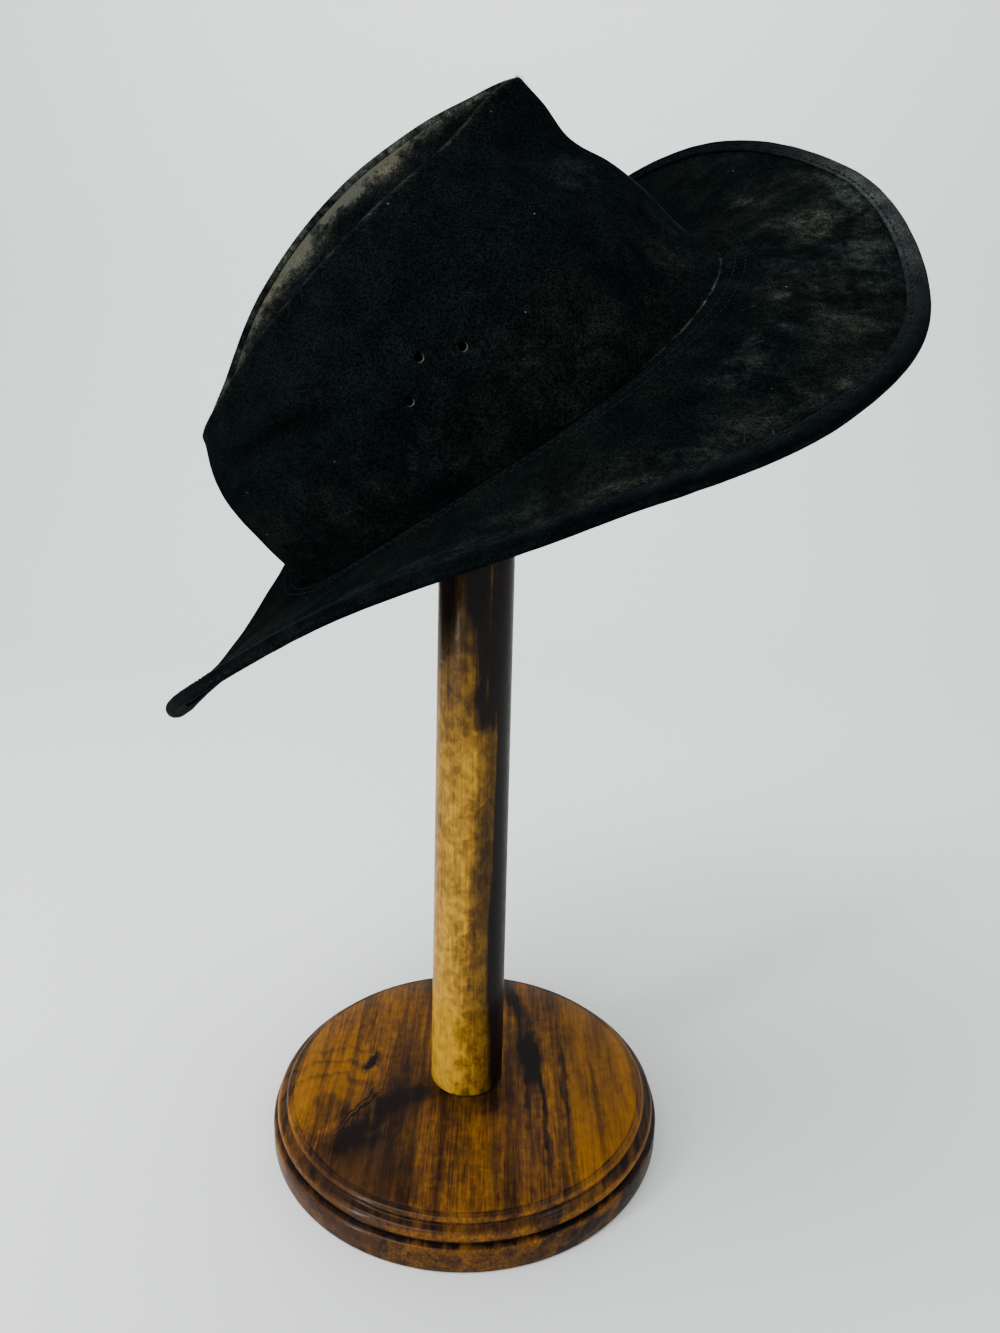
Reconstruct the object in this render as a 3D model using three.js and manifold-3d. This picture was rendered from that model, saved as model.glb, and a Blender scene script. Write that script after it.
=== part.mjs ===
// A leather bush hat on a turned wooden stand, in millimetres, with +Z up.
// The origin is the centre of the stand's underside. +X is the way the hat faces,
// and -Y is its right side. The hat leans back and a little to its right.
import * as THREE from 'three';
import Module from 'manifold-3d';

const wasm = await Module();
wasm.setup();

// Stand: turned base, straight post and a plain rounded head
const BASE_R = 89;
const BASE_H = 20.2;
const BASE_TOP_R = 79.8;
const POST_R_FOOT = 16.6;
const POST_R_TOP = 15.4;
const HEAD_R = 45;
const HEAD_Z = 349;
const HEAD_FLAT = 36;
const GAP = 0.3;

// Where the hat sits: the middle of its crown seam, and how far it leans, rolls and turns
const HAT_AT = new THREE.Vector3(3.2, 6.5, 325.6);
const LEAN = 38;
const ROLL = 17;
const TURN = 2;

// Leather
const CROWN_SKIN = 2.2;
const BRIM_SKIN = 2;
const BINDING_SKIN = 0.9;
const BINDING_WIDTH = 7;
const SEAM_SPLIT = 0.2;
const FLAT_FOOT = 0.12;

// Crown seam: how its height changes round the hat, and how far the brim reaches under the crown
const SEAM_SADDLE = -4;
const SEAM_FRONT_LIFT = 2.3;
const BRIM_INNER_EDGE = -3;

// Levels of the crown, from the seam up to the ridge.
// point narrows the front half into a wedge.
const LEVELS = [
  { front: 102.5, back: 102.5, side: 84.0, point: 0.0 },
  { front: 90.6, back: 104.6, side: 81.5, point: 0.03 },
  { front: 85.2, back: 104.9, side: 75.0, point: 0.1 },
  { front: 78.2, back: 102.5, side: 63.0, point: 0.25 },
  { front: 72.5, back: 94.9, side: 39.9, point: 0.45 },
];

// Round the hat in steps of 30 degrees: the ridge's height, and the brim edge's reach and height
const ROUND_STEP = 30;
const ROUND = [
  { angle: -180, ridge: 57.1, reach: 176.6, lift: -23.3 },
  { angle: -150, ridge: 64.0, reach: 165.3, lift: 9.5 },
  { angle: -120, ridge: 75.2, reach: 149.8, lift: 19.7 },
  { angle: -90, ridge: 82.4, reach: 143.8, lift: 1.7 },
  { angle: -60, ridge: 83.3, reach: 152.6, lift: -24.8 },
  { angle: -30, ridge: 85.5, reach: 155.0, lift: -37.6 },
  { angle: 0, ridge: 83.7, reach: 163.2, lift: -14.2 },
  { angle: 30, ridge: 86.8, reach: 164.1, lift: 11.2 },
  { angle: 60, ridge: 89.7, reach: 152.7, lift: 11.8 },
  { angle: 90, ridge: 87.5, reach: 149.2, lift: 2.0 },
  { angle: 120, ridge: 77.6, reach: 155.4, lift: -15.1 },
  { angle: 150, ridge: 62.6, reach: 169.9, lift: -43.8 },
];
const BRIM_CURL = 1.25;

// Soft dents in the crown's wall: where, how wide, and how deep
const DENTS = [
  { angle: -34, height: 0.79, spread: 16, tall: 0.2, depth: 7 },
  { angle: 34, height: 0.79, spread: 16, tall: 0.2, depth: 7 },
  { angle: -124, height: 0.62, spread: 24, tall: 0.13, depth: 3.5 },
  { angle: 118, height: 0.6, spread: 34, tall: 0.16, depth: 2.5 },
  { angle: 0, height: 0.7, spread: 14, tall: 0.12, depth: 3 },
];

// The top panel sinks along its middle, and stops short of the crown's two tips
const TOP_SINK = 15.4;
const TOP_EDGE_POWER = 1.8;
const TOP_FLOOR_POWER = 1.2;
const TOP_END = 0.08;

// Three punched vents in each side panel, as shares of the wall's height
const VENT_R = 2;
const VENT_PUNCH = 12;
const VENT_SIDES = 10;
const VENTS = [
  { angle: 89, height: 0.47 },
  { angle: 96.3, height: 0.536 },
  { angle: 102, height: 0.435 },
];

// Fineness of the faces
const PANEL_STEPS = 36;
const PANEL_ROWS = 10;
const TOP_STEPS = 30;
const TOP_ROWS = 8;
const BRIM_STEPS = 72;
const TURNED_STEPS = 60;

const rad = THREE.MathUtils.degToRad;
const degrees = THREE.MathUtils.radToDeg;

// A smooth value through evenly spaced ones, open or in a ring
function smooth(values, place, ring = false) {
  const n = values.length;
  const i = ring ? Math.floor(place) : Math.min(Math.max(Math.floor(place), 0), n - 2);
  const u = place - i;
  const at = (k) => {
    if (ring) return values[(((i + k) % n) + n) % n];
    if (i + k < 0) return 2 * values[0] - values[1];
    if (i + k > n - 1) return 2 * values[n - 1] - values[n - 2];
    return values[i + k];
  };
  const [a, b, c, d] = [at(-1), at(0), at(1), at(2)];
  const curve = (2 * a - 5 * b + 4 * c - d) * u * u + (3 * b - a - 3 * c + d) * u ** 3;
  return 0.5 * (2 * b + (c - a) * u + curve);
}

const roundHat = (name, angle) =>
  smooth(ROUND.map((row) => row[name]), (degrees(angle) + 180) / ROUND_STEP, true);

const level = (name, height) => smooth(LEVELS.map((row) => row[name]), height * (LEVELS.length - 1));

const seamHeight = (angle) => SEAM_SADDLE * Math.cos(2 * angle) + SEAM_FRONT_LIFT * Math.cos(3 * angle);

function dentDepth(angle, height) {
  let depth = 0;
  for (const dent of DENTS) {
    const round = THREE.MathUtils.euclideanModulo(degrees(angle) - dent.angle + 180, 360) - 180;
    const across = (round / dent.spread) ** 2;
    const up = ((height - dent.height) / dent.tall) ** 2;
    depth += dent.depth * Math.exp(-across - up);
  }
  return depth;
}

// Outer face of the crown's wall: angle round the hat, height 0 at the seam and 1 at the ridge
function wall(angle, height) {
  const c = Math.cos(angle);
  const s = Math.sin(angle);
  const x = level(c > 0 ? 'front' : 'back', height) * c;
  const wedge = 1 - level('point', height) * (0.5 + 0.5 * c) ** 2;
  const y = level('side', height) * s * wedge;
  const shrink = 1 - dentDepth(angle, height) / Math.hypot(x, y);
  const foot = seamHeight(angle);
  return new THREE.Vector3(x * shrink, y * shrink, foot + height * (roundHat('ridge', angle) - foot));
}

// Upper face of the brim: share 0 at the crown seam and 1 at the edge
function brimTop(angle, share) {
  const seam = wall(angle, 0);
  const reach = roundHat('reach', angle);
  const edge = new THREE.Vector3(reach * Math.cos(angle), reach * Math.sin(angle), roundHat('lift', angle));
  const p = seam.clone().lerp(edge, share);
  p.z = seam.z + (edge.z - seam.z) * Math.max(share, 0) ** BRIM_CURL;
  return p;
}

function brimWidth(angle) {
  const seam = wall(angle, 0);
  const reach = roundHat('reach', angle);
  return Math.hypot(reach * Math.cos(angle) - seam.x, reach * Math.sin(angle) - seam.y);
}

// The unit normal of a surface given by two numbers, from small steps to each side
const SMALL = 1e-3;
function normalOf(surface, u, v) {
  const du = surface(u + SMALL, v).sub(surface(u - SMALL, v));
  const dv = surface(u, v + SMALL).sub(surface(u, v - SMALL));
  return du.cross(dv).normalize();
}

// A closed body from rings of points: each ring joins the next, and the ends are joined or closed
function bodyFromRings(rings, joined) {
  const size = rings[0].length;
  const points = rings.flat();
  const faces = [];
  const spans = joined ? rings.length : rings.length - 1;
  for (let i = 0; i < spans; i++) {
    const next = ((i + 1) % rings.length) * size;
    for (let j = 0; j < size; j++) {
      const k = (j + 1) % size;
      faces.push(i * size + j, next + j, next + k);
      faces.push(i * size + j, next + k, i * size + k);
    }
  }
  return { points, faces, size };
}

function toGeometry(points, faces) {
  let volume = 0;
  for (let i = 0; i < faces.length; i += 3) {
    const [a, b, c] = [points[faces[i]], points[faces[i + 1]], points[faces[i + 2]]];
    volume += a.dot(b.clone().cross(c));
  }
  const order = volume > 0 ? faces : faces.slice().reverse();
  const numbers = points.flatMap((p) => [p.x, p.y, p.z]);
  const geometry = new THREE.BufferGeometry();
  geometry.setAttribute('position', new THREE.Float32BufferAttribute(numbers, 3));
  geometry.setIndex(order);
  return geometry;
}

// A sheet with an outer and an inner face, stepsU by stepsV cells
function sheet(outer, inner, stepsU, stepsV) {
  const rings = [];
  for (let i = 0; i <= stepsU; i++) {
    const front = [];
    const back = [];
    for (let j = 0; j <= stepsV; j++) {
      front.push(outer(i / stepsU, j / stepsV));
      back.unshift(inner(i / stepsU, j / stepsV));
    }
    rings.push([...front, ...back]);
  }
  const { points, faces, size } = bodyFromRings(rings, false);
  const last = stepsU * size;
  for (let j = 0; j < stepsV; j++) {
    const [a, b, c, d] = [j, j + 1, size - 2 - j, size - 1 - j];
    faces.push(a, b, c, a, c, d);
    faces.push(last + a, last + c, last + b, last + a, last + d, last + c);
  }
  return toGeometry(points, faces);
}

function toManifold(geometry) {
  const vertProperties = geometry.attributes.position.array;
  const triVerts = Uint32Array.from(geometry.index.array);
  return new wasm.Manifold(new wasm.Mesh({ numProp: 3, vertProperties, triVerts }));
}

function fromManifold(solid) {
  const mesh = solid.getMesh();
  const geometry = new THREE.BufferGeometry();
  geometry.setAttribute('position', new THREE.BufferAttribute(mesh.vertProperties, 3));
  geometry.setIndex(new THREE.BufferAttribute(mesh.triVerts, 1));
  return geometry;
}

// Leather materials and wood
const suede = (color) => new THREE.MeshStandardMaterial({ color, roughness: 0.95, metalness: 0 });
const BLACK_SUEDE = suede(0x17181a);
const WORN_SUEDE = suede(0x2a2824);
const BINDING_LEATHER = new THREE.MeshStandardMaterial({ color: 0x101114, roughness: 0.7, metalness: 0 });
const VARNISHED_WOOD = new THREE.MeshStandardMaterial({ color: 0x7a4a20, roughness: 0.35, metalness: 0 });

const part = new THREE.Group();
const hat = new THREE.Group();
const toRight = new THREE.Quaternion().setFromAxisAngle(new THREE.Vector3(1, 0, 0), rad(ROLL));
const backward = new THREE.Quaternion().setFromAxisAngle(new THREE.Vector3(0, 1, 0), rad(-LEAN));
const turned = new THREE.Quaternion().setFromAxisAngle(new THREE.Vector3(0, 0, 1), rad(TURN));
hat.quaternion.copy(turned.multiply(backward).multiply(toRight));
hat.position.copy(HAT_AT);
part.add(hat);

function add(parent, name, geometry, material) {
  const mesh = new THREE.Mesh(geometry, material);
  mesh.name = name;
  parent.add(mesh);
  return mesh;
}

// Which way is inward at a point of the wall. Near the seam it stays level, so the foot is flat.
function inward(angle, height) {
  const n = normalOf(wall, angle, Math.min(height, 1 - SMALL));
  if (n.x * Math.cos(angle) + n.y * Math.sin(angle) > 0) n.negate();
  n.z *= Math.min(1, height / FLAT_FOOT);
  return n.normalize();
}

// The side panels stand just clear of the brim and of each other
const sideShift = (side) => new THREE.Vector3(0, side * SEAM_SPLIT, GAP);

// Crown side panels: half of the wall each, with the centre seams at the front and the back
function sidePanel(side) {
  const outer = (u, v) => wall(side * Math.PI * u, v).add(sideShift(side));
  const inner = (u, v) => outer(u, v).addScaledVector(inward(side * Math.PI * u, v), CROWN_SKIN);
  let solid = toManifold(sheet(outer, inner, PANEL_STEPS, PANEL_ROWS));
  for (const vent of VENTS) {
    const angle = side * rad(vent.angle);
    const punch = new THREE.CylinderGeometry(VENT_R, VENT_R, VENT_PUNCH, VENT_SIDES).toNonIndexed();
    const lengthwise = new THREE.Vector3(0, 1, 0);
    const through = inward(angle, vent.height);
    punch.applyQuaternion(new THREE.Quaternion().setFromUnitVectors(lengthwise, through));
    const at = wall(angle, vent.height);
    punch.translate(at.x, at.y, at.z);
    solid = solid.subtract(toManifold(welded(punch)));
  }
  return fromManifold(solid);
}

// Joins the equal corners of a closed geometry
function welded(geometry) {
  const position = geometry.attributes.position;
  const known = new Map();
  const points = [];
  const faces = [];
  for (let i = 0; i < position.count; i++) {
    const p = new THREE.Vector3().fromBufferAttribute(position, i);
    const key = p.toArray().map((value) => value.toFixed(4)).join();
    if (!known.has(key)) {
      known.set(key, points.length);
      points.push(p);
    }
    faces.push(known.get(key));
  }
  const whole = [];
  for (let i = 0; i < faces.length; i += 3) {
    const [a, b, c] = faces.slice(i, i + 3);
    if (a !== b && b !== c && c !== a) whole.push(a, b, c);
  }
  return toGeometry(points, whole);
}

add(hat, 'crown_side_right', sidePanel(-1), BLACK_SUEDE);
add(hat, 'crown_side_left', sidePanel(1), BLACK_SUEDE);

// Top panel: it is sewn inside the side panels' upper edges, and sinks between them
function topEdge(side, angle) {
  const ridge = wall(side * angle, 1).add(sideShift(side));
  return ridge.addScaledVector(inward(side * angle, 1), CROWN_SKIN + GAP);
}
function topOuter(u, v) {
  const angle = Math.PI * (TOP_END + (1 - 2 * TOP_END) * u);
  const across = Math.abs(2 * v - 1);
  const p = topEdge(-1, angle).lerp(topEdge(1, angle), v);
  p.z -= TOP_SINK * Math.sin(angle) * (1 - across ** TOP_EDGE_POWER) ** TOP_FLOOR_POWER;
  return p;
}
function topInner(u, v) {
  const p = topOuter(u, v);
  p.z -= CROWN_SKIN;
  return p;
}
add(hat, 'crown_top', sheet(topOuter, topInner, TOP_STEPS, TOP_ROWS), WORN_SUEDE);

// Brim: one sheet with an oval hole, in rings from the hole to the edge
const BRIM_RINGS = [0, 0.15, 0.4, 0.65];
function brimPoint(angle, outward, lift) {
  const share = 1 + outward / brimWidth(angle);
  const n = normalOf(brimTop, angle, Math.min(share, 1 - SMALL));
  if (n.z < 0) n.negate();
  return brimTop(angle, share).addScaledVector(n, lift);
}
function brimSection(angle) {
  const width = brimWidth(angle);
  const shares = [BRIM_INNER_EDGE / width, ...BRIM_RINGS, 1 - BINDING_WIDTH / width, 1];
  const upper = shares.map((share) => brimPoint(angle, (share - 1) * width, 0));
  const lower = shares.map((share) => brimPoint(angle, (share - 1) * width, -BRIM_SKIN));
  return [...upper, ...lower.reverse()];
}
function ringOf(section) {
  const rings = [];
  for (let i = 0; i < BRIM_STEPS; i++) rings.push(section((2 * Math.PI * i) / BRIM_STEPS - Math.PI));
  const { points, faces } = bodyFromRings(rings, true);
  return toGeometry(points, faces);
}
add(hat, 'brim', ringOf(brimSection), BLACK_SUEDE);

// Binding: a strip folded round the brim's edge, given as its distance outward and its lift
const UNDER = -BRIM_SKIN - GAP;
const OUTSIDE = GAP + BINDING_SKIN;
const BINDING_SECTION = [
  [-BINDING_WIDTH, GAP],
  [GAP, GAP],
  [GAP, UNDER],
  [-BINDING_WIDTH, UNDER],
  [-BINDING_WIDTH, UNDER - BINDING_SKIN],
  [0, UNDER - BINDING_SKIN],
  [OUTSIDE, 0.8 * UNDER],
  [OUTSIDE, 0.2 * UNDER],
  [0, OUTSIDE],
  [-BINDING_WIDTH, OUTSIDE],
];
const bindingSection = (angle) => BINDING_SECTION.map(([outward, lift]) => brimPoint(angle, outward, lift));
add(hat, 'brim_binding', ringOf(bindingSection), BINDING_LEATHER);

// Turned pieces of the stand: a profile of radius and height, closed on the axis
function turnedPiece(name, profile, material) {
  const lathe = new THREE.LatheGeometry(profile.map(([r, z]) => new THREE.Vector2(r, z)), TURNED_STEPS);
  lathe.rotateX(Math.PI / 2);
  add(part, name, welded(lathe.toNonIndexed()), material);
}

// Base: plain foot, dark groove, torus, cove and bead under a flat top
const BASE_PROFILE = [
  [0, 0],
  [BASE_R - 1.2, 0],
  [BASE_R, 1.2],
  [BASE_R, 9.6],
  [BASE_R - 1, 10.8],
  [BASE_R - 5, 11.4],
  [BASE_R - 2.6, 12.4],
  [BASE_R - 1.8, 14],
  [BASE_R - 3, 15.8],
  [BASE_R - 5.8, 16.4],
  [BASE_R - 5.4, 17.8],
  [BASE_R - 6.8, 19.2],
  [BASE_TOP_R, BASE_H],
  [0, BASE_H],
];
turnedPiece('stand_base', BASE_PROFILE, VARNISHED_WOOD);

const HEAD_LOW_Z = HEAD_Z - HEAD_FLAT;
turnedPiece('stand_post', [
  [0, BASE_H + GAP],
  [POST_R_FOOT - 1, BASE_H + GAP],
  [POST_R_FOOT, BASE_H + GAP + 1],
  [POST_R_TOP, HEAD_LOW_Z - GAP],
  [0, HEAD_LOW_Z - GAP],
], VARNISHED_WOOD);

// Head: a plain ball with a flat underside
const HEAD_STEPS = 10;
const flatAngle = Math.asin(HEAD_FLAT / HEAD_R);
const headProfile = [[0, HEAD_LOW_Z]];
for (let i = 0; i <= HEAD_STEPS; i++) {
  const angle = -flatAngle + ((Math.PI / 2 + flatAngle) * i) / HEAD_STEPS;
  const radius = i === HEAD_STEPS ? 0 : HEAD_R * Math.cos(angle);
  headProfile.push([radius, HEAD_Z + HEAD_R * Math.sin(angle)]);
}
turnedPiece('stand_head', headProfile, VARNISHED_WOOD);

export default part;
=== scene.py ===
# A black suede bush hat with a bound brim, tilted back on a turned wooden stand.
import math
import random

import bmesh
import bpy
from mathutils import Matrix, Vector, noise


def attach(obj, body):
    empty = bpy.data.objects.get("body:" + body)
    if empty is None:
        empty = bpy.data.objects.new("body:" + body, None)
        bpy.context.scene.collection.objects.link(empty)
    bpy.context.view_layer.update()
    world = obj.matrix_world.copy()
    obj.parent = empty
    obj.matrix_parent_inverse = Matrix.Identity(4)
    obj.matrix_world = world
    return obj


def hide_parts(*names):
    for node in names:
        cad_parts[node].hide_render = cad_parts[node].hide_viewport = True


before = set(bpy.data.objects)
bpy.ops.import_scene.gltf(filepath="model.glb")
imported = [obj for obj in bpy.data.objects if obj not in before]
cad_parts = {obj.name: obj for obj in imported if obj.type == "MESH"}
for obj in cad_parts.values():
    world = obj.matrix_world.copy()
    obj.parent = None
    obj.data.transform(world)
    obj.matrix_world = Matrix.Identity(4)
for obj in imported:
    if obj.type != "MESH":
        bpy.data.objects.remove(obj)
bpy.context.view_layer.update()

# Camera
# It stands about 38 cm in front of the post, level with the brim, and looks down a little.
PHOTO_HEIGHT_PX = 1333
FOCAL_PX = 925
SENSOR_MM = 36
CAMERA_AT = (0.0106, -0.3768, 0.3153)
CAMERA_DOWN = math.radians(14.27)
CAMERA_ROLL = math.radians(1.55)
camera_data = bpy.data.cameras.new("camera")
camera_data.lens = SENSOR_MM * FOCAL_PX / PHOTO_HEIGHT_PX
camera_data.clip_start = 0.01
camera = bpy.data.objects.new("camera", camera_data)
look = Matrix.Rotation(math.radians(90) - CAMERA_DOWN, 4, "X") @ Matrix.Rotation(CAMERA_ROLL, 4, "Z")
camera.matrix_world = Matrix.Translation(CAMERA_AT) @ look
bpy.context.collection.objects.link(camera)
bpy.context.scene.camera = camera


# Floor and light
# A plain pale floor that rises softly behind. A tall narrow light at the left stands for a window,
# with a soft lamp above it, a weak fill at the right and a wash on the far end of the floor.
FLOOR_COLOR = (0.80, 0.82, 0.81, 1)
FLOOR_HALF = 3.0
FLOOR_WIDER = 2
FLOOR_BEND_FROM = 0.9
FLOOR_BEND_RADIUS = 0.6


def set_inputs(node, values):
    """Gives a node's sockets constants, or links from other nodes' sockets."""
    for socket, value in values.items():
        if isinstance(value, bpy.types.NodeSocket):
            node.id_data.links.new(value, node.inputs[socket])
        else:
            node.inputs[socket].default_value = value


def new_node(tree, kind, values=None, **settings):
    """Adds a shader node, with its settings and what its sockets get."""
    made = tree.nodes.new("ShaderNode" + kind)
    for name, value in settings.items():
        setattr(made, name, value)
    set_inputs(made, values or {})
    return made


def new_material(name):
    """A material with its nodes and its Principled BSDF, nothing linked to it yet."""
    material = bpy.data.materials.new(name)
    material.use_nodes = True
    return material, material.node_tree, material.node_tree.nodes["Principled BSDF"]


def new_object(name, bm, smooth=True):
    """Takes a bmesh into the scene as an object."""
    mesh = bpy.data.meshes.new(name)
    bm.to_mesh(mesh)
    if smooth:
        mesh.shade_smooth()
    made = bpy.data.objects.new(name, mesh)
    bpy.context.collection.objects.link(made)
    return made


floor_bm = bmesh.new()
bmesh.ops.create_grid(floor_bm, x_segments=2, y_segments=64, size=FLOOR_HALF)
for vert in floor_bm.verts:
    beyond = vert.co.y - FLOOR_BEND_FROM
    vert.co.x *= FLOOR_WIDER
    if beyond > 0:
        turn = min(beyond / FLOOR_BEND_RADIUS, math.pi / 2)
        upright = max(0, beyond - FLOOR_BEND_RADIUS * math.pi / 2)
        vert.co.y = FLOOR_BEND_FROM + FLOOR_BEND_RADIUS * math.sin(turn)
        vert.co.z = FLOOR_BEND_RADIUS * (1 - math.cos(turn)) + upright
floor = new_object("floor", floor_bm)
floor_material, _, floor_shader = new_material("pale_floor")
set_inputs(floor_shader, {"Base Color": FLOOR_COLOR, "Roughness": 0.9, "Specular IOR Level": 0.1})
floor.data.materials.append(floor_material)

world = bpy.data.worlds.new("soft_room")
world.use_nodes = True
set_inputs(world.node_tree.nodes["Background"], {"Color": (0.94, 0.97, 1.0, 1), "Strength": 0.85})
bpy.context.scene.world = world

for name, place, aimed_at, width, height, power in (
    ("window", (-0.98, -0.76, 0.42), (0, 0, 0.25), 0.14, 0.9, 13),
    ("lamp", (-0.55, -0.35, 1.35), (0, 0, 0.28), 0.7, 0.7, 16),
    ("fill", (1.1, -0.9, 0.8), (0, 0, 0.28), 1.2, 1.2, 3),
    ("wash", (0, 0.35, 1.9), (0, 1.5, 0.9), 1.6, 1.0, 30),
):
    light_data = bpy.data.lights.new(name, "AREA")
    light_data.shape = "RECTANGLE"
    light_data.size = width
    light_data.size_y = height
    light_data.energy = power
    light = bpy.data.objects.new(name, light_data)
    aim = (Vector(aimed_at) - Vector(place)).to_track_quat("-Z", "Y").to_matrix().to_4x4()
    light.matrix_world = Matrix.Translation(place) @ aim
    bpy.context.collection.objects.link(light)


# Crown side panels
# Two panels of black suede, 2.2 mm thick, cut as mirror halves and joined by a seam at the front
# and one at the back. Each has three punched vents. Years of wear have dented and pinched them.
MM = 0.001
HAT_AT = Vector((3.2, 6.5, 325.6))
HAT_TURN = math.radians(2)
HAT_LEAN = math.radians(38)
HAT_ROLL = math.radians(17)
HAT = (
    Matrix.Translation(HAT_AT)
    @ Matrix.Rotation(HAT_TURN, 4, "Z")
    @ Matrix.Rotation(-HAT_LEAN, 4, "Y")
    @ Matrix.Rotation(HAT_ROLL, 4, "X")
)
HAT_TO_SCENE = Matrix.Scale(MM, 4) @ HAT
CROWN_SKIN = 2.2
THINNEST_SHARE = 0.1
PIECE_GAP = 0.3
# The panels' ends press a little into each other along the centre seams, so no light comes through
SEAM_PRESS = 0.15
SEAM_SADDLE = -4
SEAM_FRONT_LIFT = 2.3
# From the seam up to the ridge, evenly spaced; point narrows the front half into a wedge
CROWN_LEVELS = {
    "front": (102.5, 90.6, 85.2, 78.2, 72.5),
    "back": (102.5, 104.6, 104.9, 102.5, 94.9),
    "side": (84.0, 81.5, 75.0, 63.0, 39.9),
    "point": (0.0, 0.03, 0.1, 0.25, 0.45),
}
# Round the hat from the back in steps of 30 degrees, the right side first
ROUND_STEP = 30
ROUND_HAT = {
    "ridge": (57.1, 64.0, 75.2, 82.4, 83.3, 85.5, 83.7, 86.8, 89.7, 87.5, 77.6, 62.6),
    "reach": (176.6, 165.3, 149.8, 143.8, 152.6, 155.0, 163.2, 164.1, 152.7, 149.2, 155.4, 169.9),
    "lift": (-23.3, 9.5, 19.7, 1.7, -24.8, -37.6, -14.2, 11.2, 11.8, 2.0, -15.1, -43.8),
}
# Soft dents: where round the hat in degrees, share of the height, spread, tallness and depth
DENTS = (
    (-34, 0.79, 16, 0.2, 7),
    (34, 0.79, 16, 0.2, 7),
    (-124, 0.62, 24, 0.13, 3.5),
    (118, 0.6, 34, 0.16, 2.5),
    (0, 0.7, 14, 0.12, 3),
)


def smooth_value(values, place, ring=False):
    """A smooth value through evenly spaced ones, open or in a ring."""
    count = len(values)
    first = math.floor(place) if ring else min(max(math.floor(place), 0), count - 2)
    u = place - first
    near = []
    for step in (-1, 0, 1, 2):
        k = first + step
        if ring:
            near.append(values[k % count])
        elif k < 0:
            near.append(2 * values[0] - values[1])
        elif k > count - 1:
            near.append(2 * values[-1] - values[-2])
        else:
            near.append(values[k])
    a, b, c, d = near
    curve = (2 * a - 5 * b + 4 * c - d) * u * u + (3 * b - a - 3 * c + d) * u ** 3
    return 0.5 * (2 * b + (c - a) * u + curve)


def round_hat(name, angle):
    return smooth_value(ROUND_HAT[name], (math.degrees(angle) + 180) / ROUND_STEP, True)


def crown_level(name, height):
    return smooth_value(CROWN_LEVELS[name], height * (len(CROWN_LEVELS[name]) - 1))


def seam_height(angle):
    return SEAM_SADDLE * math.cos(2 * angle) + SEAM_FRONT_LIFT * math.cos(3 * angle)


def dent_depth(angle, height):
    depth = 0
    for at, share, spread, tall, deep in DENTS:
        away = (math.degrees(angle) - at + 180) % 360 - 180
        depth += deep * math.exp(-((away / spread) ** 2) - ((height - share) / tall) ** 2)
    return depth


def crown_wall(angle, height, outward=0.0):
    """A point of the wall's outer face, in the hat's own millimetres."""
    c, s = math.cos(angle), math.sin(angle)
    x = crown_level("front" if c > 0 else "back", height) * c
    y = crown_level("side", height) * s * (1 - crown_level("point", height) * (0.5 + 0.5 * c) ** 2)
    shrink = 1 - (dent_depth(angle, height) - outward) / math.hypot(x, y)
    foot = seam_height(angle)
    return Vector((x * shrink, y * shrink, foot + height * (round_hat("ridge", angle) - foot)))


def on_hat(point):
    """From the hat's own millimetres to the scene's metres."""
    return (HAT @ point) * MM


def shaped_sheet(name, across, along, place, ring=False):
    """A grid of quads whose points u, v, from 0 to 1 each, move to place(u, v)."""
    bm = bmesh.new()
    bm.loops.layers.uv.new("sheet")
    bmesh.ops.create_grid(bm, x_segments=across, y_segments=along, size=0.5, calc_uvs=True)
    for vert in bm.verts:
        vert.co = on_hat(place(vert.co.x + 0.5, vert.co.y + 0.5))
    if ring:
        bmesh.ops.remove_doubles(bm, verts=bm.verts, dist=1e-6)
    bmesh.ops.recalc_face_normals(bm, faces=bm.faces)
    return new_object(name, bm)


def face_away(sheet, centre):
    """Turns an open sheet's faces so that most of them look away from a point."""
    mesh = sheet.data
    score = sum((face.center - centre).dot(face.normal) for face in mesh.polygons)
    if score < 0:
        mesh.flip_normals()


def thicken(piece, skin, group=""):
    """Gives a sheet its thickness on the inside, thinner where a vertex group says so."""
    wall = piece.modifiers.new("skin", "SOLIDIFY")
    wall.thickness = skin * MM
    wall.offset = -1
    wall.use_even_offset = True
    wall.vertex_group = group
    wall.thickness_vertex_group = THINNEST_SHARE


def leather_waves(point, size, depth):
    """Gentle unevenness of worn leather, from smooth noise."""
    return depth * noise.noise(point / size)


def new_group(name, inputs):
    """A node group with these inputs, by name and kind, that puts out a colour, roughness and normal."""
    tree = bpy.data.node_groups.new(name, "ShaderNodeTree")
    outputs = {"Color": "Color", "Roughness": "Float", "Normal": "Vector"}
    for way, sockets in (("INPUT", inputs), ("OUTPUT", outputs)):
        for socket, kind in sockets.items():
            tree.interface.new_socket(socket, in_out=way, socket_type="NodeSocket" + kind)
    return tree, tree.nodes.new("NodeGroupInput").outputs, tree.nodes.new("NodeGroupOutput")


def object_place(tree):
    return new_node(tree, "TexCoord").outputs["Object"]


def noise_at(place, scale, detail, roughness=0.5, distortion=0.0):
    values = {"Vector": place, "Scale": scale, "Detail": detail}
    values.update({"Roughness": roughness, "Distortion": distortion})
    return new_node(place.id_data, "TexNoise", values).outputs["Fac"]


def remapped(value, low, high, to_low, to_high):
    """Moves a value from one range to another, and stops at its ends."""
    values = {"Value": value, "From Min": low, "From Max": high, "To Min": to_low, "To Max": to_high}
    return new_node(value.id_data, "MapRange", values).outputs["Result"]


def combined(operation, values):
    """Multiplies or adds values, of which the first is a socket."""
    result = values[0]
    for value in values[1:]:
        result = new_node(result.id_data, "Math", {0: result, 1: value}, operation=operation).outputs[0]
    return result


def product(*values):
    return combined("MULTIPLY", values)


def total(*values):
    return combined("ADD", values)


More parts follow.
